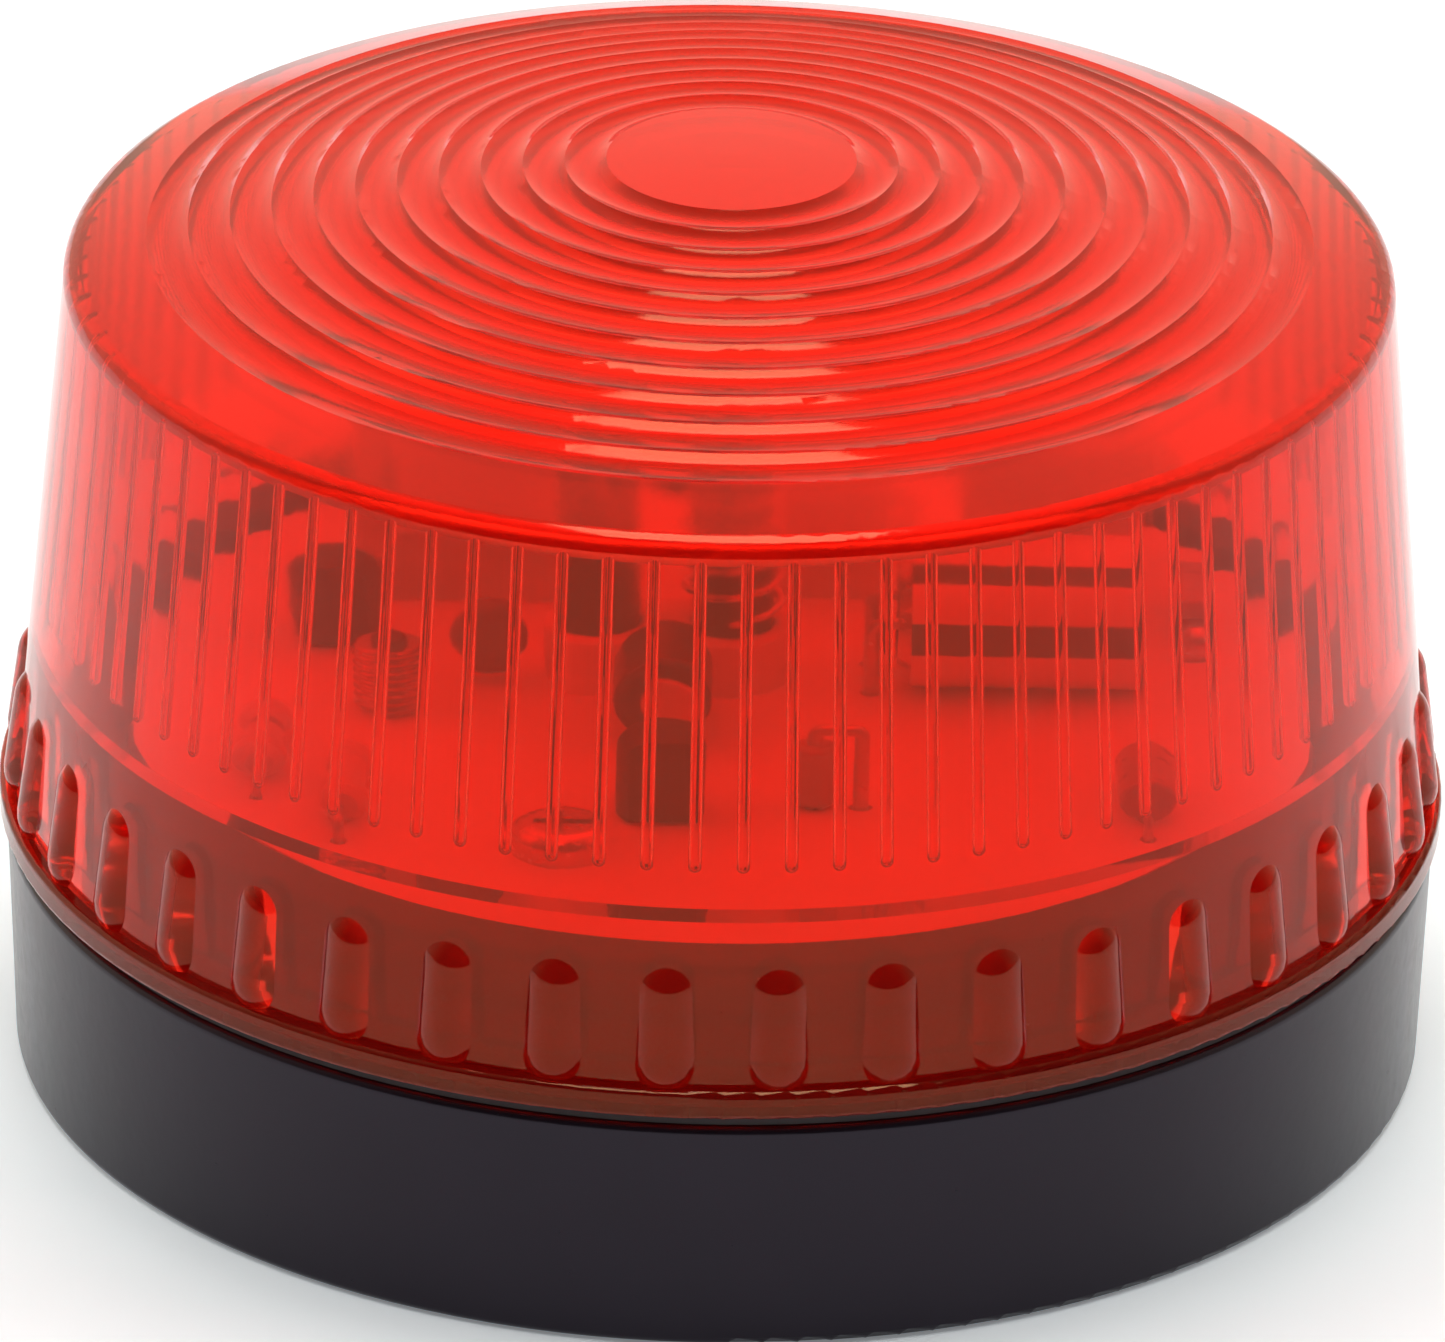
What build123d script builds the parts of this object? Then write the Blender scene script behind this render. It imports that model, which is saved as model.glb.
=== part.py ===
"""Round strobe alarm unit: a screw-on ribbed lens over a flash circuit in a round base.

Millimetres. +Z is up, away from the surface that the unit is mounted on. The origin is
the centre of the base's underside, and -Y is the front.
"""
import os
from math import atan2, cos, degrees, radians, sin, sqrt

from build123d import *

# --- Base housing ---------------------------------------------------------------
base_radius = 37.1  # at the deck
base_draft = 0.5  # how much smaller the foot is than the deck
base_height = 12.6  # underside to deck
base_edge_round = 0.5
outer_wall = 1.8
floor_thickness = 2.4
neck_setback = 3.2  # deck width from rim to neck
neck_height = 7.6  # above the deck
neck_wall = 2.2
core_ribs = 12  # webs across the slot between the two walls
core_rib_width = 1.4

# --- Screw thread that holds the lens on the neck ---------------------------------
thread_pitch = 2.2
thread_height = 0.7
thread_root_width = 1.3
thread_crest_width = 0.5
thread_sink = 0.15  # how deep a thread's root is buried in its wall
neck_thread_rise = 2.7  # deck to the start of the neck's thread
neck_thread_margin = 0.9  # end of the neck's thread to the neck's top
lens_thread_margin = 1.3  # end of the lens's thread to the ledge
lens_thread_root_width = 1.1
lens_thread_segments = 4
lens_thread_arc = 42.0  # degrees of thread in each segment
lens_thread_first = 2.0  # degrees from the front, towards +X
thread_clearance = 0.25  # lens thread crest to neck
bore_clearance = 0.4  # neck thread crest to lens bore
land_drop = 0.9  # how far the ledge comes down above each thread segment
land_setback = 0.05  # its inner face, outside the wall above it

# --- Lens seal ------------------------------------------------------------------
seal_thickness = 0.6
seal_setback = 0.4  # inside the base's rim
seal_clearance = 0.25  # outside the neck's thread

# --- Lens cover -----------------------------------------------------------------
lens_height = 36.4  # flange underside to crown
dome_radius = 99.6
dome_thickness = 2.0
lens_wall = 1.5
rim_round = 1.2
flange_overhang = 0.4  # beyond the base's rim
flange_height = 1.5
flange_edge_round = 0.3
ledge_clearance = 3.0  # neck's top to the ledge inside the lens
skirt_wall = 1.7
wall_draft = 5.05  # degrees
optic_rings = 11
ring_pitch = 2.14
centre_disc_rings = 3  # radius of the smooth centre, in ring pitches
ring_depth = 0.3
wall_ribs = 90
wall_rib_radius = 0.33
wall_rib_start = 2.8  # above the ledge
grip_ribs = 40
grip_radius = 1.9
grip_proud = 0.68  # beyond the skirt at its foot
grip_top_proud = 0.5
grip_length = 4.0  # between the centres of its rounded ends
grip_rise = 0.9  # flange top to the centre of its lower end
grip_phase = 5.0  # degrees from the front to the first grip rib

# --- Circuit board and its fixing -------------------------------------------------
board_thickness = 1.6
board_drop = 0.6  # neck top to board top
board_clearance = 0.8  # board edge to neck
board_rests = 8
board_rest_width = 2.0
board_rest_reach = 1.8
screw_circle = 0.68  # share of the board's radius
screw_azimuth = -22.5  # degrees from the front
screw_radius = 1.2
screw_length = 8.0
screw_head_radius = 2.4
screw_head_height = 1.6
screw_slot = 0.5
boss_radius = 3.0
boss_web = 1.6
hole_clearance = 0.3

# --- Mounting holes and cable entry -------------------------------------------------
fixing_spacing = 54.0
fixing_hole_radius = 2.1
grommet_bore = 2.0
grommet_neck = 3.0
grommet_flange = 4.4
grommet_lip = 1.2
grommet_pocket_play = 0.4
grommet_pad_radius = 6.6
cable_setback = 4.9  # neck's inner face to the cable's axis
cable_notch_radius = 4.6  # notch in the board's edge

# --- Flash tube -----------------------------------------------------------------
tube_radius = 2.2
tube_wall = 0.7
tube_spacing = 7.0
tube_rise = 13.4  # board to the centre of the bend
tube_foot_gap = 0.6
holder_height = 3.2
holder_margin = 0.6
holder_play = 0.1
electrode_length = 7.2
trigger_wire_radius = 0.2
trigger_wire_pitch = 1.5
trigger_wire_turns = 5.5
trigger_wire_rise = 0.9  # holder to the first turn
trigger_wire_play = 0.05

# --- Parts on the board -----------------------------------------------------------
lead_radius = 0.3
lead_hole_play = 0.15
lead_tail = 1.6  # below the board
solder_radius = 0.6
solder_height = 1.0
stand_off = 0.2  # gap under bodies that don't sit flat

capacitor_radius = 4.0
capacitor_length = 12.5
sleeve_thickness = 0.15
sleeve_lip = 0.5
bung_radius = 2.6
bung_depth = 0.8
capacitor_lead_spacing = 3.5

trigger_coil_radius = 2.5
trigger_coil_length = 5.2
trigger_core_radius = 1.45
trigger_core_proud = 0.3

to92_radius = 2.3
to92_flat = 1.4  # axis to the flat face
to92_height = 4.5
to92_lead_spacing = 1.27

disc_gap = 0.6  # tube holder to the disc
disc_radius = 2.1
disc_thickness = 1.6
disc_lead_spacing = 2.5

choke_radius = 1.6
choke_core_radius = 1.0
choke_turns = 8
choke_turn_height = 0.45

film_size = (7.0, 3.6, 6.5)
film_round = 0.5
film_lead_spacing = 5.0

resistor_length = 6.2
resistor_end_radius = 1.15
resistor_waist_radius = 0.95
diode_length = 5.0
diode_radius = 1.3
axial_lead_reach = 1.6  # body end to the bent-down lead
upright_length = 3.4
upright_radius = 0.9

core_width = 13.0
core_depth = 6.0
core_height = 12.0
core_yoke = 2.0
core_leg = 1.7
core_post = 3.4
bobbin_play = 0.1
bobbin_wall = 0.6
bobbin_flange = 0.8
bobbin_overhang = 3.0
winding_inset = 0.4
bobbin_pin_spacing = 5.0

terminal_size = (10.0, 8.0, 9.0)
terminal_pitch = 5.0
terminal_screw_radius = 1.6
terminal_screw_depth = 2.6
terminal_mouth = (3.2, 4.0, 3.4)
terminal_edge = 0.4

# --- Places that follow from the sizes ----------------------------------------------
neck_radius = base_radius - neck_setback
neck_inner = neck_radius - neck_wall
neck_top = base_height + neck_height
foot_radius = base_radius - base_draft
thread_crest = neck_radius + thread_height
seal_top = base_height + seal_thickness

lens_bore = thread_crest + bore_clearance
lens_foot = seal_top
lens_crown = lens_foot + lens_height
flange_top = lens_foot + flange_height
flange_radius = base_radius + flange_overhang
skirt_foot_radius = lens_bore + skirt_wall
ledge = neck_top + ledge_clearance
dome_centre = lens_crown - dome_radius
draft_slope = sin(radians(wall_draft)) / cos(radians(wall_draft))

board_top = neck_top - board_drop
board_bottom = board_top - board_thickness
board_radius = neck_inner - board_clearance
cable_place = (0.0, neck_inner - cable_setback)
tube_spring = board_top + tube_rise


def outer_wall_radius(height):
    """The lens's outside radius at a height, along its drafted wall."""
    return skirt_foot_radius - draft_slope * (height - flange_top)


def dome_height(radius, sphere):
    """Height of a sphere about the dome's centre, at a radius from the axis."""
    return dome_centre + sqrt(sphere**2 - radius**2)


def dome_arc(outer, inner, sphere, depth=0):
    """Arc between two radii on a sphere about the dome's centre, hollowed by depth at its middle."""
    middle = (outer + inner) / 2
    return ThreePointArc(
        (outer, 0, dome_height(outer, sphere)),
        (middle, 0, dome_height(middle, sphere) - depth),
        (inner, 0, dome_height(inner, sphere)),
    )


def corner_radius(offset, sphere):
    """Where the drafted wall, moved in by offset, meets a sphere about the dome's centre."""
    radius = outer_wall_radius(lens_crown) - offset
    for _ in range(20):
        radius = outer_wall_radius(dome_height(radius, sphere)) - offset
    return radius


def place(across, along):
    """A place on the board, given as shares of its radius."""
    return (across * board_radius, along * board_radius)


def polar(radius, azimuth):
    """A place at a radius and an azimuth in degrees from the front, towards +X."""
    return (radius * sin(radians(azimuth)), -radius * cos(radians(azimuth)))


tube_place = place(-0.1, 0.05)
capacitor_place = place(0.5, 0.05)
trigger_coil_place = place(-0.094, -0.165)
thyristor_place = place(-0.094, -0.49)
transistor_place = place(-0.66, 0.17)
holder_edge = tube_place[0] - tube_spacing / 2 - tube_radius - holder_margin
disc_place = (holder_edge - disc_gap - disc_radius, place(0, 0.02)[1])
choke_place = place(-0.56, -0.1)
upright_place = place(0.155, -0.45)
film_place = place(0.16, 0.42)
transformer_place = place(-0.42, 0.52)
terminal_place = place(0.56, 0.46)
diode_places = [place(0.80, 0.28), place(0.70, -0.42)]
resistor_places = [place(-0.76, -0.30), place(-0.62, -0.46)]
screw_places = [
    polar(screw_circle * board_radius, screw_azimuth),
    polar(screw_circle * board_radius, screw_azimuth + 180),
]
fixing_places = [(-fixing_spacing / 2, 0.0), (fixing_spacing / 2, 0.0)]


# --- General helpers ----------------------------------------------------------------
def turned(points):
    """Solid of revolution about Z from a closed outline of (radius, height) points."""
    return revolve(make_face(Polyline(*[(r, 0, z) for r, z in points], close=True)), Axis.Z)


def disc(place_xy, radius, low, high):
    """Upright cylinder between two heights."""
    return Pos(*place_xy, (low + high) / 2) * Cylinder(radius, high - low)


def block(place_xy, size, low):
    """Box with its underside at a height."""
    return Pos(*place_xy, low + size[2] / 2) * Box(*size)


def rounded(shape, edges, radius):
    """The shape with the given edges rounded."""
    return fillet(edges, radius)


def circles(shape, height):
    """Circular edges at a height."""
    return [
        edge
        for edge in shape.edges().filter_by(GeomType.CIRCLE)
        if abs(edge.center(CenterOf.BOUNDING_BOX).Z - height) < 1e-4
    ]


def sector(first, arc, radius, low, high):
    """Pie slice about Z, from an azimuth from the front and over an arc, in degrees."""
    start = first - 90
    arc_edge = CenterArc((0, 0, low), radius, start, arc)
    sides = [Line((0, 0, low), arc_edge @ 0), Line(arc_edge @ 1, (0, 0, low))]
    return extrude(make_face([sides[0], arc_edge, sides[1]]), high - low, dir=(0, 0, 1))


def helical_thread(root, crest, root_width, crest_width, turns, start):
    """One helical ridge of trapezoid section, starting on the X axis at a height."""
    path = Pos(0, 0, start) * Helix(thread_pitch, thread_pitch * turns, (root + crest) / 2)
    outline = [
        (root, 0, start - root_width / 2),
        (crest, 0, start - crest_width / 2),
        (crest, 0, start + crest_width / 2),
        (root, 0, start + root_width / 2),
    ]
    return sweep(make_face(Polyline(*outline, close=True)), path, is_frenet=True)


def wire(points, radius, bend):
    """Round wire along straight runs joined by bends."""
    path = FilletPolyline(*points, radius=bend) if len(points) > 2 else Line(*points)
    section = Plane(origin=path @ 0, z_dir=path % 0) * Circle(radius)
    return sweep(section, path)


def solder(place_xy):
    """Solder cone under the board, around a lead."""
    return Pos(*place_xy, board_bottom - solder_height / 2) * Cone(
        lead_radius * 1.3, solder_radius, solder_height
    )


def pin(place_xy, top):
    """Straight lead from a height down through the board, with its solder."""
    return disc(place_xy, lead_radius, board_bottom - lead_tail, top) + solder(place_xy)


def bent_lead(start, place_xy):
    """Lead that runs level from a point, then down through the board at a place."""
    level = start[2]
    foot = board_bottom - lead_tail
    points = [start, (*place_xy, level), (*place_xy, foot)]
    return wire(points, lead_radius, lead_radius * 2) + solder(place_xy)


def spread(place_xy, spacing, count, along_x=True):
    """Places in a row about a centre."""
    offsets = [spacing * (i - (count - 1) / 2) for i in range(count)]
    x, y = place_xy
    return [(x + o, y) if along_x else (x, y + o) for o in offsets]


# --- Base -----------------------------------------------------------------------------
def base_shell():
    """Double-walled dish with the neck: outer wall, deck, neck and floor."""
    shell = turned(
        [
            (0, 0),
            (foot_radius, 0),
            (base_radius, base_height),
            (neck_radius, base_height),
            (neck_radius, neck_top),
            (neck_inner, neck_top),
            (neck_inner, floor_thickness),
            (0, floor_thickness),
        ]
    )
    rims = circles(shell, 0) + circles(shell, base_height)
    outer_edges = [edge for edge in rims if edge.radius > neck_radius + base_edge_round]
    shell = rounded(shell, outer_edges, base_edge_round)
    slot_depth = base_height - floor_thickness
    slot_outer = foot_radius - outer_wall
    slot = disc((0, 0), slot_outer, 0, slot_depth) - disc((0, 0), neck_radius, 0, slot_depth)
    web = block((neck_radius, 0), (4 * outer_wall, core_rib_width, slot_depth), 0)
    webs = [
        Rot(0, 0, 360 / core_ribs * (i + 0.5)) * web
        for i in range(core_ribs)
    ]
    return shell - (slot - webs)


def neck_thread():
    """The neck's continuous outside thread."""
    return helical_thread(
        neck_radius - thread_sink,
        thread_crest,
        thread_root_width,
        thread_crest_width,
        (neck_height - neck_thread_rise - neck_thread_margin) / thread_pitch,
        base_height + neck_thread_rise,
    )


def board_supports():
    """Screw bosses with webs to the wall, and rests around the wall."""
    height = board_bottom - floor_thickness
    parts = []
    for spot, azimuth in zip(screw_places, (screw_azimuth, screw_azimuth + 180)):
        reach = neck_inner + neck_wall / 2 - screw_circle * board_radius
        middle = screw_circle * board_radius + reach / 2
        web = block((0, -middle), (boss_web, reach, height), floor_thickness)
        parts.append(disc(spot, boss_radius, floor_thickness, board_bottom))
        parts.append(Rot(0, 0, azimuth) * web)
    for i in range(board_rests):
        reach = board_rest_reach + neck_wall / 2
        middle = neck_inner + neck_wall / 2 - reach / 2
        rest = block((middle, 0), (reach, board_rest_width, height), floor_thickness)
        parts.append(Rot(0, 0, 360 / board_rests * (i + 0.5)) * rest)
    return parts


def base_housing():
    """Base with its thread, supports, mounting holes and cable entry."""
    pad_top = floor_thickness + grommet_lip + stand_off
    pad = disc(cable_place, grommet_pad_radius, floor_thickness / 2, pad_top)
    pad = pad & disc((0, 0), neck_inner + neck_wall / 2, 0, pad_top)
    housing = base_shell() + neck_thread() + board_supports() + pad
    pocket = disc(cable_place, grommet_flange + grommet_pocket_play, 0, grommet_lip + stand_off)
    cable_hole = disc(cable_place, grommet_neck, 0, pad_top)
    cuts = [pocket, cable_hole]
    cuts += [disc(spot, fixing_hole_radius, 0, floor_thickness) for spot in fixing_places]
    screw_end = board_top - screw_length - hole_clearance
    cuts += [disc(spot, screw_radius, screw_end, board_bottom) for spot in screw_places]
    return housing - cuts


def cable_grommet():
    """Rubber grommet: a bore through two flanges that grip the floor."""
    low = stand_off
    shoulder = grommet_lip + stand_off
    pad_top = floor_thickness + shoulder
    outline = [
        (grommet_bore, low),
        (grommet_flange, low),
        (grommet_flange, shoulder),
        (grommet_neck, shoulder),
        (grommet_neck, pad_top),
        (grommet_flange, pad_top),
        (grommet_flange - grommet_lip / 2, pad_top + grommet_lip),
        (grommet_bore, pad_top + grommet_lip),
    ]
    return Pos(*cable_place) * turned(outline)


def lens_seal():
    """Flat rubber ring on the deck, under the lens flange."""
    inner = thread_crest + seal_clearance
    outer = base_radius - seal_setback
    return disc((0, 0), outer, base_height, seal_top) - disc((0, 0), inner, base_height, seal_top)


# --- Lens -----------------------------------------------------------------------------
def lens_outside():
    """Solid outside form: flange, drafted wall and domed top with its fluted rings."""
    corner = corner_radius(0, dome_radius)
    corner_height = dome_height(corner, dome_radius)
    radii = [ring_pitch * (centre_disc_rings + i) for i in range(optic_rings + 1)]
    points = [
        (0, 0, lens_foot),
        (flange_radius, 0, lens_foot),
        (flange_radius, 0, flange_top),
        (skirt_foot_radius, 0, flange_top),
        (corner, 0, corner_height),
    ]
    edges = [Polyline(*points), dome_arc(corner, radii[-1], dome_radius)]
    for outer, inner in zip(radii[:0:-1], radii[-2::-1]):
        edges.append(dome_arc(outer, inner, dome_radius, ring_depth))
    edges.append(dome_arc(radii[0], 0, dome_radius))
    edges.append(Line((0, 0, lens_crown), points[0]))
    body = revolve(make_face(edges), Axis.Z)
    body = rounded(body, circles(body, corner_height), rim_round)
    rims = circles(body, lens_foot) + circles(body, flange_top)
    flange_edges = [edge for edge in rims if edge.radius > skirt_foot_radius + flange_edge_round]
    return rounded(body, flange_edges, flange_edge_round)


def lens_hollow():
    """Inside form: bore, ledge, drafted wall and the smooth underside of the dome."""
    sphere = dome_radius - dome_thickness
    corner = corner_radius(lens_wall, sphere)
    ledge_radius = outer_wall_radius(ledge) - lens_wall
    below = lens_foot - flange_height
    points = [
        (0, 0, below),
        (lens_bore, 0, below),
        (lens_bore, 0, ledge),
        (ledge_radius, 0, ledge + (lens_bore - ledge_radius)),
        (corner, 0, dome_height(corner, sphere)),
    ]
    under = dome_arc(corner, 0, sphere)
    edges = [Polyline(*points), under, Line(under @ 1, points[0])]
    return revolve(make_face(edges), Axis.Z)


def bar(low, high, radius, rounded_ends):
    """Round bar between two (radius, height) points in the XZ plane.

    A hemisphere is added at each of the two ends that is listed in rounded_ends.
    """
    length = sqrt((high[0] - low[0]) ** 2 + (high[1] - low[1]) ** 2)
    lean = degrees(atan2(high[0] - low[0], high[1] - low[1]))
    shape = Pos(0, 0, length / 2) * Cylinder(radius, length)
    for end, height in (("low", 0), ("high", length)):
        if end in rounded_ends:
            shape = shape + Pos(0, 0, height) * Sphere(radius)
    return Pos(low[0], 0, low[1]) * Rot(0, lean, 0) * shape


def grips():
    """Grip ribs around the skirt, rounded at both ends and standing above the flange."""
    foot = flange_top + grip_rise
    top = foot + grip_length
    low = (outer_wall_radius(foot) + grip_proud - grip_radius, foot)
    high = (outer_wall_radius(top) + grip_top_proud - grip_radius, top)
    grip = bar(low, high, grip_radius, ("low", "high"))
    grip = grip - disc((0, 0), flange_radius + grip_radius, lens_foot - grip_radius, lens_foot)
    step = 360 / grip_ribs
    return [Rot(0, 0, grip_phase - 90 + step * i) * grip for i in range(grip_ribs)]


def inner_ribs():
    """Fine half-round ribs up the inside of the wall, into the dome."""
    foot = ledge + wall_rib_start
    sphere = dome_radius - dome_thickness
    top = dome_height(corner_radius(lens_wall, sphere), sphere)
    low = (outer_wall_radius(foot) - lens_wall, foot)
    high = (outer_wall_radius(top) - lens_wall, top + wall_rib_radius)
    rib = bar(low, high, wall_rib_radius, ("low",))
    step = 360 / wall_ribs
    return [Rot(0, 0, step * i) * rib for i in range(wall_ribs)]


def lens_thread():
    """The lens's inside thread, cut into equal segments."""
    crest = neck_radius + thread_clearance
    start = base_height + neck_thread_rise - thread_pitch / 2
    ridge = helical_thread(
        lens_bore + thread_sink,
        crest,
        lens_thread_root_width,
        thread_crest_width,
        (ledge - lens_thread_margin - start) / thread_pitch,
        start,
    )
    return ridge & thread_slices()


def thread_slices():
    """Pie slices of the lens that hold its thread segments."""
    step = 360 / lens_thread_segments
    return [
        sector(lens_thread_first + step * i, lens_thread_arc, lens_bore + 1, lens_foot, ledge + 1)
        for i in range(lens_thread_segments)
    ]


def ledge_lands():
    """Stretches of the ledge that come down a little above each thread segment."""
    inner = outer_wall_radius(ledge) - lens_wall + land_setback
    top = ledge + (lens_bore - inner)
    ring = disc((0, 0), lens_bore + thread_sink, ledge - land_drop, top)
    ring = ring - disc((0, 0), inner, ledge - land_drop, top)
    return ring & thread_slices()


def lens_cover():
    """Screw-on lens in one moulding."""
    body = lens_outside() + grips() - lens_hollow()
    return body + inner_ribs() + lens_thread() + ledge_lands()


# --- Board ----------------------------------------------------------------------------
def lead_places():
    """Every place where a lead passes through the board."""
    spots = spread(tube_place, tube_spacing, 2)
    spots += capacitor_lead_places()
    spots += spread(trigger_coil_place, trigger_coil_length / 2, 2, along_x=False)
    spots += spread(thyristor_place, to92_lead_spacing, 3)
    spots += spread(transistor_place, to92_lead_spacing, 3)
    spots += spread(disc_place, disc_lead_spacing, 2)
    spots += spread(choke_place, 2 * choke_core_radius, 2)
    spots += [upright_place, upright_return()]
    spots += spread(film_place, film_lead_spacing, 2)
    for row in bobbin_pin_rows():
        spots += row
    spots += spread(terminal_place, terminal_pitch, 2)
    for spot in diode_places:
        spots += spread(spot, diode_length + 2 * axial_lead_reach, 2, along_x=False)
    for spot in resistor_places:
        spots += spread(spot, resistor_length + 2 * axial_lead_reach, 2, along_x=False)
    return spots


def circuit_board():
    """Round board with a notch for the cable, which covers the base's fixing holes."""
    board = disc((0, 0), board_radius, board_bottom, board_top)
    notch = disc(cable_place, cable_notch_radius, board_bottom, board_top)
    holes = [disc(spot, screw_radius + hole_clearance, board_bottom, board_top) for spot in screw_places]
    holes += [disc(spot, lead_radius + lead_hole_play, board_bottom, board_top) for spot in lead_places()]
    return board - notch - holes


def board_screws():
    """Two pan-head screws with cross slots."""
    screws = []
    for spot in screw_places:
        head = disc(spot, screw_head_radius, board_top, board_top + screw_head_height)
        head = rounded(head, circles(head, board_top + screw_head_height), screw_head_height / 2)
        slot_size = (2 * screw_head_radius * 0.6, screw_slot, screw_head_height)
        slot_floor = board_top + screw_head_height / 2
        across = Pos(*spot, slot_floor + slot_size[2] / 2) * Box(*slot_size)
        along = Pos(*spot, slot_floor + slot_size[2] / 2) * Rot(0, 0, 90) * Box(*slot_size)
        shank = disc(spot, screw_radius, board_top - screw_length, board_top)
        screws.append(head - across - along + shank)
    return screws


# --- Flash tube -------------------------------------------------------------------------
def tube_path(foot):
    """Centre line of the U-shaped tube, from one foot to the other."""
    left, right = spread(tube_place, tube_spacing, 2)
    x, y = tube_place
    rise = [Line((*left, foot), (*left, tube_spring)), Line((*right, tube_spring), (*right, foot))]
    bend = ThreePointArc((*left, tube_spring), (x, y, tube_spring + tube_spacing / 2), (*right, tube_spring))
    return Wire([rise[0], bend, rise[1]])


def flash_tube():
    """U-shaped glass tube, open at both feet."""
    foot = board_top + tube_foot_gap
    path = tube_path(foot)
    section = Plane(origin=path @ 0, z_dir=path % 0) * (
        Circle(tube_radius) - Circle(tube_radius - tube_wall)
    )
    return sweep(section, path)


def tube_electrodes():
    """Sealed electrode in each foot of the tube, with its pin through the board."""
    foot = board_top + tube_foot_gap
    bore = tube_radius - tube_wall
    parts = []
    for spot in spread(tube_place, tube_spacing, 2):
        bead = disc(spot, bore, foot, foot + 1)
        rod = disc(spot, bore - 0.3, foot + 1, foot + electrode_length)
        rod = rounded(rod, circles(rod, foot + electrode_length), 0.5)
        parts.append(bead + rod + pin(spot, foot))
    return parts


def tube_holder():
    """Moulded block that the tube's feet stand in."""
    depth = 2 * (tube_radius + holder_margin)
    size = (tube_spacing + depth, depth, holder_height)
    body = block(tube_place, size, board_top)
    body = rounded(body, body.edges().filter_by(Axis.Z), size[1] / 2 - 0.1)
    body = rounded(body, body.faces().sort_by(Axis.Z)[-1].edges(), 0.4)
    sockets = [
        disc(spot, tube_radius + holder_play, board_top, board_top + holder_height)
        for spot in spread(tube_place, tube_spacing, 2)
    ]
    return body - sockets


def trigger_wire():
    """Fine wire wound up the right leg of the tube, with a tail to the board."""
    x, y = spread(tube_place, tube_spacing, 2)[1]
    radius = tube_radius + trigger_wire_play + trigger_wire_radius
    start = board_top + holder_height + trigger_wire_rise
    coil = Helix(trigger_wire_pitch, trigger_wire_pitch * trigger_wire_turns, radius)
    coil = Pos(x, y, start) * Rot(0, 0, -90) * coil
    section = Plane(origin=coil @ 0, z_dir=coil % 0) * Circle(trigger_wire_radius)
    winding = sweep(section, coil, is_frenet=True)
    tail_y = y - tube_radius - holder_margin - 3 * trigger_wire_radius
    tail = wire(
        [(x, y - radius, start), (x, tail_y, start - trigger_wire_rise), (x, tail_y, board_top)],
        trigger_wire_radius,
        trigger_wire_radius * 2,
    )
    knuckle = Pos(x, y - radius, start) * Sphere(trigger_wire_radius)
    return winding + tail + knuckle


# --- Parts on the board -------------------------------------------------------------------
def capacitor_axis():
    """Height of the lying capacitor's axis."""
    return board_top + capacitor_radius


def capacitor_ends():
    """Lead end and far end of the capacitor, along X."""
    return (capacitor_place[0] - capacitor_length / 2, capacitor_place[0] + capacitor_length / 2)


def capacitor_lead_places():
    """Where the lying capacitor's leads pass through the board."""
    x = capacitor_ends()[0] - axial_lead_reach
    return spread((x, capacitor_place[1]), capacitor_lead_spacing, 2, along_x=False)


def along_x(solid, low_x, y, height):
    """A solid made standing on the origin, laid along +X from a point."""
    return Pos(low_x, y, height) * Rot(0, 90, 0) * solid


def capacitor_can():
    """Aluminium can with a crimp groove near its lead end."""
    radius = capacitor_radius - sleeve_thickness
    groove = 2.2
    outline = [
        (0, bung_depth),
        (bung_radius, bung_depth),
        (bung_radius, 0),
        (radius - 0.6, 0),
        (radius, 0.6),
        (radius, groove - 0.5),
        (radius - 0.4, groove),
        (radius, groove + 0.5),
        (radius, capacitor_length - 0.4),
        (radius - 0.4, capacitor_length),
        (0, capacitor_length),
    ]
    return along_x(turned(outline), capacitor_ends()[0], capacitor_place[1], capacitor_axis())


def capacitor_sleeve():
    """Shrunk plastic sleeve around the can, over the edge of its far end."""
    radius = capacitor_radius
    inner = radius - sleeve_thickness
    end = capacitor_length + sleeve_thickness
    outline = [
        (inner, sleeve_lip),
        (radius, sleeve_lip),
        (radius, capacitor_length - 0.4),
        (radius - 0.4, end),
        (inner - 1.2, end),
        (inner - 1.2, capacitor_length),
        (inner - 0.4, capacitor_length),
        (inner, capacitor_length - 0.4),
    ]
    return along_x(turned(outline), capacitor_ends()[0], capacitor_place[1], capacitor_axis())


def capacitor_bung():
    """Rubber bung that seals the can's lead end."""
    bung = Pos(0, 0, bung_depth / 2) * Cylinder(bung_radius, bung_depth)
    return along_x(bung, capacitor_ends()[0], capacitor_place[1], capacitor_axis())


def trigger_coil():
    """Varnished trigger coil lying along Y."""
    centre = board_top + stand_off + trigger_coil_radius
    body = Cylinder(trigger_coil_radius, trigger_coil_length)
    body = body - Cylinder(trigger_core_radius, trigger_coil_length)
    outer_edges = [e for e in body.edges().filter_by(GeomType.CIRCLE) if e.radius > trigger_core_radius + 0.1]
    body = rounded(body, outer_edges, 0.4)
    return Pos(*trigger_coil_place, centre) * Rot(90, 0, 0) * body


def trigger_core():
    """Ground metal core of the trigger coil, just proud at both ends."""
    centre = board_top + stand_off + trigger_coil_radius
    core = Cylinder(trigger_core_radius, trigger_coil_length + 2 * trigger_core_proud)
    core = rounded(core, core.edges().filter_by(GeomType.CIRCLE), trigger_core_proud / 2)
    return Pos(*trigger_coil_place, centre) * Rot(90, 0, 0) * core


def to92_body(spot):
    """D-shaped plastic device with its flat to the front."""
    low = board_top + stand_off
    body = disc(spot, to92_radius, low, low + to92_height)
    body = rounded(body, circles(body, low + to92_height), to92_radius * 0.35)
    cut = (4 * to92_radius, to92_radius, 2 * to92_height)
    return body - block((spot[0], spot[1] - to92_flat - to92_radius / 2), cut, low - 1)


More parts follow.
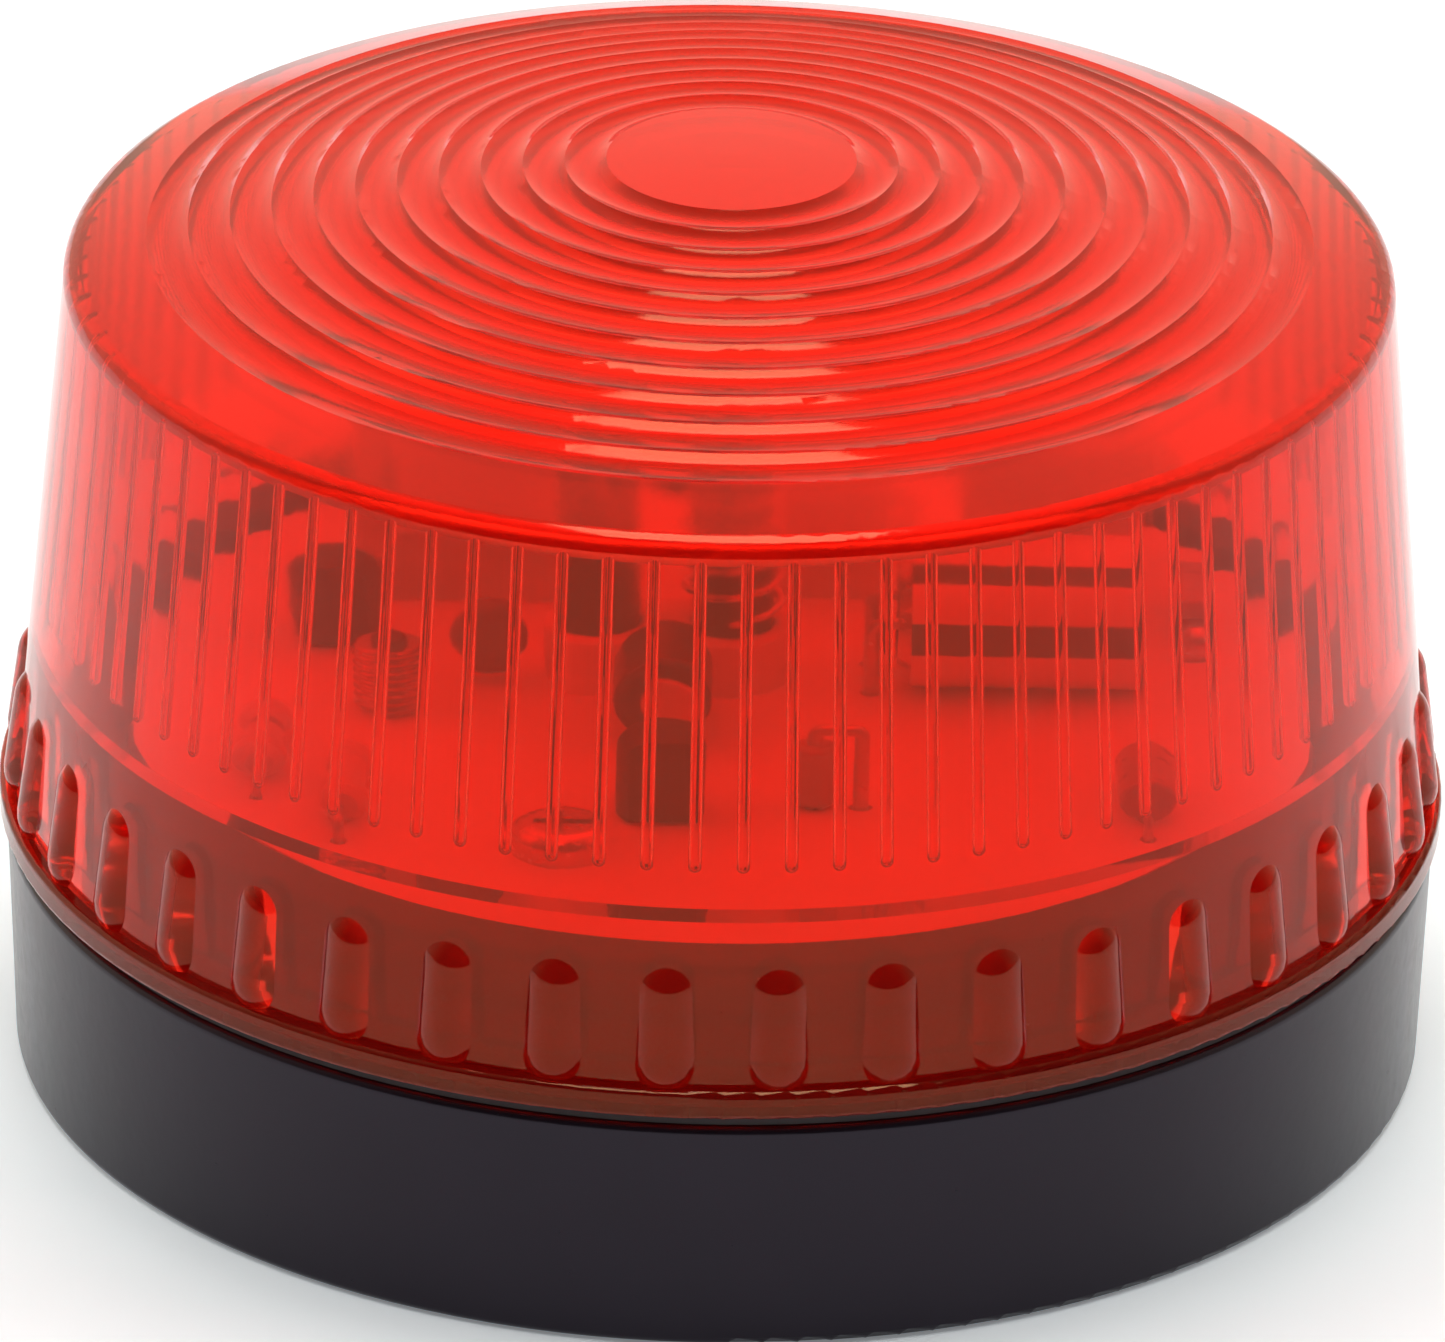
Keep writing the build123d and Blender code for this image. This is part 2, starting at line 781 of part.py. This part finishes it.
def disc_capacitor():
    """Dipped ceramic disc standing on edge, facing the front."""
    half = disc_thickness / 2
    face = disc_radius * 0.5
    outline = [
        Line((0, 0, -half), (face, 0, -half)),
        ThreePointArc((face, 0, -half), (disc_radius, 0, 0), (face, 0, half)),
        Line((face, 0, half), (0, 0, half)),
        Line((0, 0, half), (0, 0, -half)),
    ]
    dish = revolve(make_face(outline), Axis.Z)
    x, y = disc_place
    return Pos(x, y, board_top + 2 * stand_off + disc_radius) * Rot(90, 0, 0) * dish


def choke_winding():
    """Turns of enamelled wire around the choke's core."""
    step = choke_turn_height
    low = board_top + stand_off
    root = choke_radius - step / 3
    edges = []
    for i in range(choke_turns):
        foot = low + step * i
        edges.append(
            ThreePointArc((root, 0, foot), (choke_radius, 0, foot + step / 2), (root, 0, foot + step))
        )
    top = low + step * choke_turns
    bore = choke_core_radius
    edges.append(Polyline((root, 0, top), (bore, 0, top), (bore, 0, low), (root, 0, low)))
    return Pos(*choke_place) * revolve(make_face(edges), Axis.Z)


def choke_core():
    """Ferrite rod of the choke."""
    top = board_top + stand_off + choke_turn_height * choke_turns + 0.4
    rod = disc(choke_place, choke_core_radius, board_top + stand_off, top)
    return rounded(rod, circles(rod, top), 0.2)


def film_capacitor():
    """Moulded box capacitor."""
    body = block(film_place, film_size, board_top)
    edges = body.edges().filter_by(Axis.Z) + body.faces().sort_by(Axis.Z)[-1].edges()
    return rounded(body, edges, film_round)


def axial_body(length, end_radius, waist_radius):
    """Body of an axial part, lying along Y about the origin."""
    half = length / 2
    bead = length * 0.22
    outline = [
        (0, -half),
        (end_radius * 0.7, -half),
        (end_radius, -half + end_radius * 0.4),
        (end_radius, -half + bead),
        (waist_radius, -half + bead * 1.3),
        (waist_radius, half - bead * 1.3),
        (end_radius, half - bead),
        (end_radius, half - end_radius * 0.4),
        (end_radius * 0.7, half),
        (0, half),
    ]
    return Rot(90, 0, 0) * turned(outline)


def resistors():
    """Two lying resistors."""
    body = axial_body(resistor_length, resistor_end_radius, resistor_waist_radius)
    return [Pos(*spot, board_top + resistor_end_radius) * body for spot in resistor_places]


def upright_return():
    """Where the upright resistor's long lead comes back to the board."""
    return (upright_place[0] + 2 * upright_radius + 0.6, upright_place[1])


def upright_resistor():
    """Small resistor standing on end."""
    low = board_top + stand_off
    body = disc(upright_place, upright_radius, low, low + upright_length)
    return rounded(body, body.edges().filter_by(GeomType.CIRCLE), upright_radius * 0.4)


def rectifier_diodes():
    """Two lying diodes."""
    body = Rot(90, 0, 0) * Cylinder(diode_radius, diode_length)
    body = rounded(body, body.edges().filter_by(GeomType.CIRCLE), 0.2)
    return [Pos(*spot, board_top + diode_radius) * body for spot in diode_places]


def transformer_core():
    """Ferrite core: yokes, outer legs and a centre post, with its opening along Y."""
    low = board_top + bobbin_flange + stand_off
    core = block(transformer_place, (core_width, core_depth, core_height), low)
    x, y = transformer_place
    window = (core_width - core_post) / 2 - core_leg
    offset = (core_post + window) / 2
    size = (window, core_depth, core_height - 2 * core_yoke)
    windows = [block((x + side * offset, y), size, low + core_yoke) for side in (-1, 1)]
    return core - windows


def bobbin_sizes():
    """Bobbin's underside and height, and the half widths of its tube and flanges."""
    low = board_top + bobbin_flange + stand_off + core_yoke + bobbin_play
    height = core_height - 2 * core_yoke - 2 * bobbin_play
    tube = (core_post + 2 * (bobbin_play + bobbin_wall), core_depth + 2 * (bobbin_play + bobbin_wall))
    window = (core_width - core_post) / 2 - core_leg
    flange = (core_post + 2 * (window - bobbin_play), core_depth + 2 * bobbin_overhang)
    return low, height, tube, flange


def transformer_bobbin():
    """Bobbin around the core's centre post, with a foot that carries its pins."""
    low, height, tube, flange = bobbin_sizes()
    body = block(transformer_place, (*tube, height), low)
    for foot in (low, low + height - bobbin_flange):
        body = body + block(transformer_place, (*flange, bobbin_flange), foot)
    hole = (core_post + 2 * bobbin_play, core_depth + 2 * bobbin_play, height)
    body = body - block(transformer_place, hole, low)
    x, y = transformer_place
    leg_depth = bobbin_overhang - bobbin_play
    for side in (-1, 1):
        middle = y + side * (core_depth / 2 + bobbin_play + leg_depth / 2)
        body = body + block((x, middle), (flange[0], leg_depth, low - board_top + bobbin_flange), board_top)
    return body


def transformer_winding():
    """Taped winding between the bobbin's flanges."""
    low, height, tube, flange = bobbin_sizes()
    size = (flange[0] - 2 * winding_inset, flange[1] - 2 * winding_inset, height - 2 * bobbin_flange)
    body = block(transformer_place, size, low + bobbin_flange)
    body = rounded(body, body.edges().filter_by(Axis.Z), 1.2)
    return body - block(transformer_place, (*tube, size[2]), low + bobbin_flange)


def bobbin_pin_rows():
    """Two rows of pins, under the bobbin's feet."""
    x, y = transformer_place
    offset = core_depth / 2 + bobbin_play + (bobbin_overhang - bobbin_play) / 2
    return [spread((x, y + side * offset), bobbin_pin_spacing / 2, 3) for side in (-1, 1)]


def terminal_block():
    """Two-way screw terminal: screw wells on top and wire mouths at the back."""
    x, y = terminal_place
    depth = terminal_size[1]
    top = board_top + terminal_size[2]
    body = block(terminal_place, terminal_size, board_top)
    body = rounded(body, body.faces().sort_by(Axis.Z)[-1].edges(), terminal_edge)
    for spot in spread(terminal_place, terminal_pitch, 2):
        well = disc(spot, terminal_screw_radius + 0.2, top - terminal_screw_depth, top)
        mouth = block((spot[0], y + depth / 2 - terminal_mouth[1] / 2), terminal_mouth, board_top + 1.5)
        body = body - well - mouth
    return body


def terminal_screws():
    """Slotted screws in the terminal's wells."""
    top = board_top + terminal_size[2] - 0.6
    low = board_top + terminal_size[2] - terminal_screw_depth
    screws = []
    for spot in spread(terminal_place, terminal_pitch, 2):
        slot = Pos(*spot, top) * Rot(0, 0, 35) * Box(3 * terminal_screw_radius, screw_slot, 1.2)
        screws.append(disc(spot, terminal_screw_radius, low, top) - slot)
    return screws


def component_leads():
    """Every lead that is soldered through the board, apart from the tube's own pins."""
    leads = []
    end = capacitor_ends()[0]
    for spot in capacitor_lead_places():
        leads.append(bent_lead((end, spot[1], capacitor_axis()), spot))
    for spot in spread(trigger_coil_place, trigger_coil_length / 2, 2, along_x=False):
        leads.append(pin(spot, board_top + stand_off))
    for centre in (thyristor_place, transistor_place):
        leads += [pin(spot, board_top + stand_off) for spot in spread(centre, to92_lead_spacing, 3)]
    inner_side = disc_lead_spacing / 2 - lead_radius
    disc_centre = board_top + 2 * stand_off + disc_radius
    disc_low = disc_centre - sqrt(disc_radius**2 - inner_side**2)
    leads += [pin(spot, disc_low) for spot in spread(disc_place, disc_lead_spacing, 2)]
    leads += [pin(spot, board_top + stand_off) for spot in spread(choke_place, 2 * choke_core_radius, 2)]
    leads += [pin(spot, board_top) for spot in spread(film_place, film_lead_spacing, 2)]
    leads += [pin(spot, board_top) for row in bobbin_pin_rows() for spot in row]
    leads += [pin(spot, board_top) for spot in spread(terminal_place, terminal_pitch, 2)]
    leads.append(pin(upright_place, board_top + stand_off))
    leads.append(upright_lead())
    leads += axial_leads(diode_places, diode_length, diode_radius)
    leads += axial_leads(resistor_places, resistor_length, resistor_end_radius)
    return leads


def upright_lead():
    """Long lead from the top of the upright resistor over to the board."""
    x, y = upright_place
    start = board_top + stand_off + upright_length
    over = start + 2.5 * lead_radius
    spot = upright_return()
    points = [(x, y, start), (x, y, over), (*spot, over), (*spot, board_bottom - lead_tail)]
    return wire(points, lead_radius, lead_radius * 1.2) + solder(spot)


def axial_leads(places, length, height):
    """Both bent leads of each lying axial part."""
    leads = []
    for x, y in places:
        for side in (-1, 1):
            start = (x, y + side * length / 2, board_top + height)
            spot = (x, y + side * (length / 2 + axial_lead_reach))
            leads.append(bent_lead(start, spot))
    return leads


def nodes():
    """Every named piece of the unit."""
    return {
        "base_housing": base_housing(),
        "cable_grommet": cable_grommet(),
        "lens_seal": lens_seal(),
        "lens_cover": lens_cover(),
        "circuit_board": circuit_board(),
        "board_screws": board_screws(),
        "flash_tube": flash_tube(),
        "tube_electrodes": tube_electrodes(),
        "tube_holder": tube_holder(),
        "trigger_wire": trigger_wire(),
        "trigger_coil": trigger_coil(),
        "trigger_core": trigger_core(),
        "thyristor": to92_body(thyristor_place),
        "transistor": to92_body(transistor_place),
        "capacitor_can": capacitor_can(),
        "capacitor_sleeve": capacitor_sleeve(),
        "capacitor_bung": capacitor_bung(),
        "disc_capacitor": disc_capacitor(),
        "choke_core": choke_core(),
        "choke_winding": choke_winding(),
        "film_capacitor": film_capacitor(),
        "resistors": resistors(),
        "upright_resistor": upright_resistor(),
        "rectifier_diodes": rectifier_diodes(),
        "transformer_core": transformer_core(),
        "transformer_bobbin": transformer_bobbin(),
        "transformer_winding": transformer_winding(),
        "terminal_block": terminal_block(),
        "terminal_screws": terminal_screws(),
        "component_leads": component_leads(),
    }


def main():
    """Write each piece to its own file."""
    os.makedirs("parts", exist_ok=True)
    for name, shape in nodes().items():
        solids = shape if isinstance(shape, list) else shape.solids()
        flat = [solid for item in solids for solid in item.solids()]
        export_step(Compound(children=flat) if len(flat) > 1 else flat[0], f"parts/{name}.step")


main()
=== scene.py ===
import math

import bpy
from mathutils import Matrix, Vector


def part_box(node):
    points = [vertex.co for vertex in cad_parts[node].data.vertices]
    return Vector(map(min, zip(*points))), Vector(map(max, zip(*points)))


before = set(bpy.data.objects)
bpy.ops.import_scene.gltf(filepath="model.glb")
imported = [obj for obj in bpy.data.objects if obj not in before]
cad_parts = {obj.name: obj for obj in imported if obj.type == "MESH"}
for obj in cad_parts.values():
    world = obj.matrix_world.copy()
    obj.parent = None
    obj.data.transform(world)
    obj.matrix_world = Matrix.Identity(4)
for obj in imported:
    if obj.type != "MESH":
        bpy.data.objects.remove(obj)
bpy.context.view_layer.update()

scene = bpy.context.scene
scene.view_settings.view_transform = "Standard"


# --- Camera ---------------------------------------------------------------------------
def make_camera():
    """Long-lens camera at the front, looking down on the lens."""
    elevation = math.radians(25.44)
    distance = 0.9363
    pivot_height = 0.022
    aim_height = 0.02033
    roll = math.radians(1.02)
    data = bpy.data.cameras.new("camera")
    data.sensor_width = 36.0
    data.lens = 450.0
    data.clip_start = 0.05
    data.clip_end = 20.0
    camera = bpy.data.objects.new("camera", data)
    scene.collection.objects.link(camera)
    camera.location = (
        0.0,
        -distance * math.cos(elevation),
        pivot_height + distance * math.sin(elevation),
    )
    toward = Vector((0.0, 0.0, aim_height)) - camera.location
    turn = toward.to_track_quat("-Z", "Y").to_matrix().to_4x4()
    camera.rotation_euler = (turn @ Matrix.Rotation(roll, 4, "Z")).to_euler()
    scene.camera = camera


# --- Node helpers -----------------------------------------------------------------------
def node(tree, kind, **values):
    """New node; values are input sockets by name, with _ for a space."""
    made = tree.nodes.new(kind)
    for name, value in values.items():
        made.inputs[name.replace("_", " ")].default_value = value
    return made


def new_material(name):
    """Empty node material and its Principled shader."""
    material = bpy.data.materials.new(name)
    material.use_nodes = True
    shader = material.node_tree.nodes["Principled BSDF"]
    return material, shader


def object_place(tree):
    """Object coordinates in metres."""
    return tree.nodes.new("ShaderNodeTexCoord").outputs["Object"]


def axis_values(tree, vector):
    """X, Y and Z of a vector."""
    split = tree.nodes.new("ShaderNodeSeparateXYZ")
    tree.links.new(vector, split.inputs[0])
    return split.outputs


def calculate(tree, operation, first, second):
    """Result of a math node on two values, each a socket or a number."""
    made = tree.nodes.new("ShaderNodeMath")
    made.operation = operation
    for slot, value in enumerate((first, second)):
        if isinstance(value, (int, float)):
            made.inputs[slot].default_value = value
        else:
            tree.links.new(value, made.inputs[slot])
    return made.outputs[0]


def noise(tree, vector, scale, detail=3.0):
    """Noise over a vector, from 0 to 1."""
    made = node(tree, "ShaderNodeTexNoise", Scale=scale, Detail=detail)
    tree.links.new(vector, made.inputs["Vector"])
    return made.outputs["Fac"]


def level(tree, factor, low, high, start=0.0, end=1.0):
    """Map a factor from start to end onto low to high, and no further."""
    made = node(tree, "ShaderNodeMapRange", From_Min=start, From_Max=end, To_Min=low, To_Max=high)
    tree.links.new(factor, made.inputs["Value"])
    return made.outputs[0]


def blend_colours(tree, factor, first, second):
    """Mix two colours, each a tuple or a socket."""
    made = tree.nodes.new("ShaderNodeMix")
    made.data_type = "RGBA"
    tree.links.new(factor, made.inputs["Factor"])
    for name, colour in (("A", first), ("B", second)):
        slot = [s for s in made.inputs if s.name == name and s.type == "RGBA"][0]
        if isinstance(colour, tuple):
            slot.default_value = (*colour, 1)
        else:
            tree.links.new(colour, slot)
    return [s for s in made.outputs if s.type == "RGBA"][0]


def bump(tree, shader, height, distance, strength=0.4):
    """Bump from a height factor, with its depth in metres."""
    made = node(tree, "ShaderNodeBump", Strength=strength, Distance=distance)
    tree.links.new(height, made.inputs["Height"])
    tree.links.new(made.outputs[0], shader.inputs["Normal"])


def tones(colour, tone):
    """A darker and a lighter version of a colour."""
    dark = tuple(c * (1 - tone) for c in colour)
    light = tuple(min(1.0, c * (1 + tone)) for c in colour)
    return dark, light


# --- Studio -----------------------------------------------------------------------------
def make_world():
    """Soft warm surroundings: bright behind, half as bright above and beside, dark in front."""
    world = bpy.data.worlds.new("studio")
    scene.world = world
    world.use_nodes = True
    tree = world.node_tree
    tree.nodes.clear()
    output = tree.nodes.new("ShaderNodeOutputWorld")
    background = node(tree, "ShaderNodeBackground", Strength=1.0)
    direction = tree.nodes.new("ShaderNodeTexCoord").outputs["Generated"]
    forward = axis_values(tree, direction)["Y"]
    factor = level(tree, forward, 0.0, 1.0, -0.6, 0.5)
    colour = blend_colours(tree, factor, (0.04, 0.034, 0.040), (1.0, 0.80, 0.62))
    tree.links.new(colour, background.inputs["Color"])
    tree.links.new(background.outputs[0], output.inputs[0])


def area_light(name, place, size, power, sparkle=False):
    """Square soft light aimed at the object; a sparkle light is seen only in reflections."""
    aim = Vector((0, 0, 0.025))
    data = bpy.data.lights.new(name, "AREA")
    data.shape = "SQUARE"
    data.size = size
    data.energy = power
    lamp = bpy.data.objects.new(name, data)
    scene.collection.objects.link(lamp)
    lamp.location = place
    lamp.rotation_euler = (aim - lamp.location).to_track_quat("-Z", "Y").to_euler()
    lamp.visible_glossy = sparkle
    lamp.visible_diffuse = not sparkle
    lamp.visible_transmission = not sparkle


def make_floor():
    """Plain pale paper floor that runs well past the view, just below the base's own face."""
    half = 3.0
    level_below = -0.0001
    mesh = bpy.data.meshes.new("floor")
    outline = [(-half, -half), (half, -half), (half, half), (-half, half)]
    corners = [(x, y, level_below) for x, y in outline]
    mesh.from_pydata(corners, [], [(0, 1, 2, 3)])
    floor = bpy.data.objects.new("floor", mesh)
    scene.collection.objects.link(floor)
    paper = moulded(
        "floor_paper",
        (0.81, 0.91, 0.96),
        (0.55, 0.7),
        1500.0,
        0.00002,
        0.01,
        Emission_Color=(0.90, 0.95, 1.0, 1.0),
        Emission_Strength=0.19,
    )
    mesh.materials.append(paper)


# --- Materials -----------------------------------------------------------------------------
def moulded(name, colour, rough=(0.35, 0.5), grain=900.0, depth=0.00004, tone=0.15, **extra):
    """Moulded plastic, rubber or coating: slight mottling, uneven gloss and a fine grain."""
    material, shader = new_material(name)
    tree = material.node_tree
    place = object_place(tree)
    patches = level(tree, noise(tree, place, grain * 0.12), 0.0, 1.0, 0.35, 0.65)
    tree.links.new(blend_colours(tree, patches, *tones(colour, tone)), shader.inputs["Base Color"])
    fine = noise(tree, place, grain, 5.0)
    tree.links.new(level(tree, fine, *rough), shader.inputs["Roughness"])
    bump(tree, shader, fine, depth)
    for socket, value in extra.items():
        shader.inputs[socket.replace("_", " ")].default_value = value
    return material


def metal(name, colour, rough=(0.15, 0.35), grain=2500.0, **extra):
    """Plated or drawn metal with fine scratches."""
    return moulded(name, colour, rough, grain, 0.00001, 0.08, Metallic=1.0, **extra)


def clear(name, ior, rough, shadow):
    """Clear glass or plastic that lets lamps through, with its shader and its tree."""
    material, shader = new_material(name)
    tree = material.node_tree
    shader.inputs["Transmission Weight"].default_value = 1.0
    shader.inputs["IOR"].default_value = ior
    place = object_place(tree)
    wear = noise(tree, place, 260.0, 4.0)
    tree.links.new(level(tree, wear, *rough, 0.3, 0.7), shader.inputs["Roughness"])
    through = node(tree, "ShaderNodeBsdfTransparent", Color=(*shadow, 1))
    path = tree.nodes.new("ShaderNodeLightPath")
    mix = tree.nodes.new("ShaderNodeMixShader")
    output = tree.nodes["Material Output"]
    tree.links.new(path.outputs["Is Shadow Ray"], mix.inputs[0])
    tree.links.new(shader.outputs[0], mix.inputs[1])
    tree.links.new(through.outputs[0], mix.inputs[2])
    tree.links.new(mix.outputs[0], output.inputs["Surface"])
    return material, shader, tree, place


def lens_plastic():
    """Tinted lens plastic: faint flow marks, a slight haze in the dome, and painted shade that darkens
    the dome's colour.
    """
    material, shader, tree, place = clear("lens_red", 1.49, (0.02, 0.06), (0.84, 0.17, 0.12))
    shader.inputs["Transmission Weight"].default_value = 0.89
    shader.inputs["Specular IOR Level"].default_value = 0.2
    shader.inputs["Specular Tint"].default_value = (1.0, 0.55, 0.30, 1)
    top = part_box("lens_cover")[1][2]
    height = axis_values(tree, place)["Z"]
    dome_starts = top - 0.0085
    dome_is_full = top - 0.0055
    dome_haze_and_painted_shade = level(tree, height, 0.0, 1.0, dome_starts, dome_is_full)
    haze = calculate(tree, "MULTIPLY", dome_haze_and_painted_shade, 0.06)
    gloss = shader.inputs["Roughness"].links[0].from_socket
    tree.links.new(calculate(tree, "ADD", gloss, haze), shader.inputs["Roughness"])
    flow = level(tree, noise(tree, place, 90.0, 2.0), 0.0, 1.0, 0.3, 0.7)
    colour = blend_colours(tree, flow, (0.93, 0.018, 0.008), (0.96, 0.026, 0.012))
    # Painted shade: the dome's colour turns darker towards the crown, standing in for the shade the
    # lighting gives it.
    colour = blend_colours(tree, dome_haze_and_painted_shade, colour, (0.86, 0.012, 0.004))
    tree.links.new(colour, shader.inputs["Base Color"])
    bump(tree, shader, noise(tree, place, 420.0, 3.0), 0.00001, 0.25)
    return material


def tube_glass():
    """Flash tube glass, with painted shade and reflection darkening it towards its feet."""
    material, shader, tree, place = clear("tube_glass", 1.47, (0.01, 0.04), (0.9, 0.9, 0.9))
    height = axis_values(tree, place)["Z"]
    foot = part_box("flash_tube")[0][2]
    drift = calculate(tree, "MULTIPLY", noise(tree, place, 500.0, 2.0), 0.003)
    # Painted shade: the glass turns dark towards its feet, standing in for the shadow and dark
    # reflections seen in the tube.
    painted_foot_shade = level(tree, calculate(tree, "ADD", height, drift), 0.0, 1.0, foot + 0.005, foot + 0.014)
    colour = blend_colours(tree, painted_foot_shade, (0.10, 0.09, 0.09), (0.93, 0.94, 0.95))
    tree.links.new(colour, shader.inputs["Base Color"])
    return material


def banded(name, colour, band_colour, axis, bands, rough):
    """Coating with plain printed bands between pairs of positions along an axis, in metres."""
    material = moulded(name, colour, rough, 500.0, 0.00001, 0.05)
    tree = material.node_tree
    shader = tree.nodes["Principled BSDF"]
    along = axis_values(tree, object_place(tree))[axis]
    total = None
    for low, high in bands:
        inside = calculate(
            tree,
            "MULTIPLY",
            calculate(tree, "GREATER_THAN", along, low),
            calculate(tree, "LESS_THAN", along, high),
        )
        total = inside if total is None else calculate(tree, "MAXIMUM", total, inside)
    ground = shader.inputs["Base Color"].links[0].from_socket
    tree.links.new(blend_colours(tree, total, ground, band_colour), shader.inputs["Base Color"])
    return material


def paint(name, material):
    """Give a carried-over CAD node its material."""
    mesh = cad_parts[name].data
    mesh.materials.clear()
    mesh.materials.append(material)


make_camera()
make_world()
make_floor()
area_light("overhead_back", (0.0, 0.6, 1.5), 1.6, 16.0)
area_light("left_side", (-1.4, 0.2, 1.0), 1.0, 6.5)
area_light("right_side", (1.4, 0.2, 1.0), 1.0, 6.5)
area_light("front_top", (0.0, -0.62, 1.35), 0.42, 3.0)
area_light("highlight", (0.0, -0.25, 1.4), 0.7, 11.0, sparkle=True)

rubber = moulded("rubber", (0.012, 0.012, 0.013), (0.6, 0.8), 1100.0)
plated = metal("plated", (0.72, 0.72, 0.70))
tinned = metal("tinned", (0.62, 0.62, 0.62), (0.2, 0.4))
epoxy = moulded("device_epoxy", (0.012, 0.012, 0.012), (0.35, 0.55), 1500.0)
lacquer_bands = [(-0.0110, -0.0104), (-0.0088, -0.0082)]
lacquer = banded(
    "lacquer", (0.72, 0.50, 0.28), (0.35, 0.05, 0.02), "Y", lacquer_bands, (0.2, 0.4)
)
tape = moulded("tape", (0.85, 0.62, 0.10), (0.15, 0.3), 400.0)
sleeve_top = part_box("capacitor_sleeve")[1][2]
sleeve_bands = [(sleeve_top - 0.0012, sleeve_top - 0.0005), (sleeve_top - 0.0048, sleeve_top - 0.0030)]

finishes = {
    "base_housing": moulded(
        "black_abs",
        (0.006, 0.005, 0.008),
        (0.2, 0.3),
        1400.0,
        0.00002,
        Specular_IOR_Level=0.3,
        Specular_Tint=(0.95, 0.80, 1.0, 1.0),
    ),
    "cable_grommet": rubber,
    "lens_seal": rubber,
    "lens_cover": lens_plastic(),
    "circuit_board": moulded("white_mask", (0.86, 0.83, 0.78), (0.3, 0.45), 500.0, 0.00001, 0.03),
    "board_screws": plated,
    "flash_tube": tube_glass(),
    "tube_electrodes": metal("electrode", (0.12, 0.11, 0.11), (0.3, 0.5)),
    "tube_holder": moulded("pale_silicone", (0.80, 0.76, 0.70), (0.45, 0.6), 700.0),
    "trigger_wire": metal("trigger_wire", (0.85, 0.84, 0.82), (0.08, 0.2)),
    "trigger_coil": moulded("coil_varnish", (0.05, 0.02, 0.012), (0.15, 0.3), 800.0),
    "trigger_core": moulded("core_face", (0.78, 0.74, 0.68), (0.3, 0.45), 1500.0),
    "thyristor": epoxy,
    "transistor": epoxy,
    "capacitor_can": metal("aluminium", (0.85, 0.85, 0.86)),
    "capacitor_sleeve": banded(
        "sleeve", (0.82, 0.78, 0.72), (0.06, 0.03, 0.03), "Z", sleeve_bands, (0.15, 0.3)
    ),
    "capacitor_bung": rubber,
    "disc_capacitor": moulded("dipped", (0.14, 0.05, 0.02), (0.15, 0.35), 500.0),
    "choke_core": moulded("ferrite", (0.05, 0.048, 0.045), (0.5, 0.7), 1800.0),
    "choke_winding": metal("enamelled_copper", (0.55, 0.20, 0.07)),
    "film_capacitor": moulded("film_box", (0.75, 0.22, 0.05), (0.2, 0.35), 600.0),
    "resistors": lacquer,
    "upright_resistor": moulded("upright_lacquer", (0.40, 0.18, 0.09), (0.2, 0.4), 700.0),
    "rectifier_diodes": moulded("diode_glaze", (0.42, 0.16, 0.08), (0.2, 0.4), 1500.0),
    "transformer_core": tape,
    "transformer_bobbin": moulded("bobbin", (0.60, 0.50, 0.40), (0.4, 0.6), 900.0),
    "transformer_winding": tape,
    "terminal_block": moulded("terminal", (0.72, 0.70, 0.66), (0.25, 0.4), 700.0),
    "terminal_screws": plated,
    "component_leads": tinned,
}
for name, material in finishes.items():
    paint(name, material)
